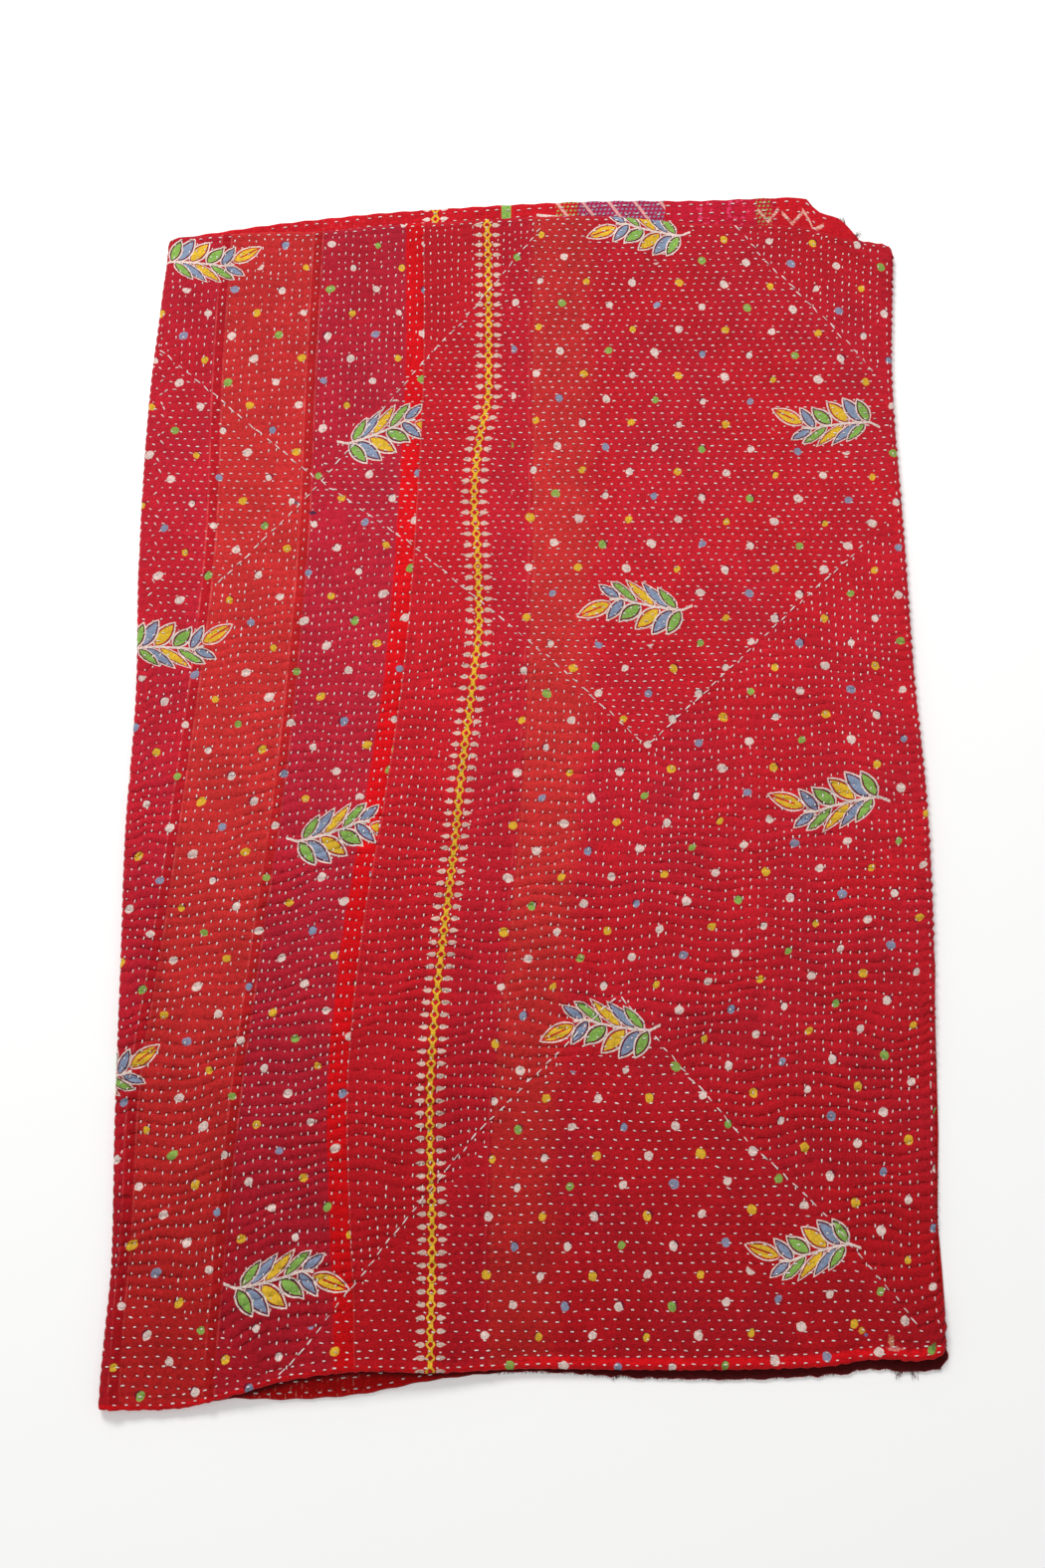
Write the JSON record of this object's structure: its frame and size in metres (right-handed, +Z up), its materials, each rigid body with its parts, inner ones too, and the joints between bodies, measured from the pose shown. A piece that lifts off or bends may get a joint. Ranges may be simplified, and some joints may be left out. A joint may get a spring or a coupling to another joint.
{
  "type": "kantha quilt",
  "caption": "Worn crimson printed cotton kantha quilt, folded once in half and laid flat, with running stitch quilting all over",
  "frame": {"origin": "on the surface the quilt rests on, under the middle of its box", "axes": "+X from the fold towards the free side hems, +Y along the quilt from the near hem to the far hem, +Z up"},
  "size_m": [0.8618, 1.3332, 0.0216],
  "materials": {
    "printed_cotton": "matte, worn, with running stitch in white thread"
  },
  "bodies": {
    "root": {"quilt": "printed_cotton"}
  },
  "joints": []
}
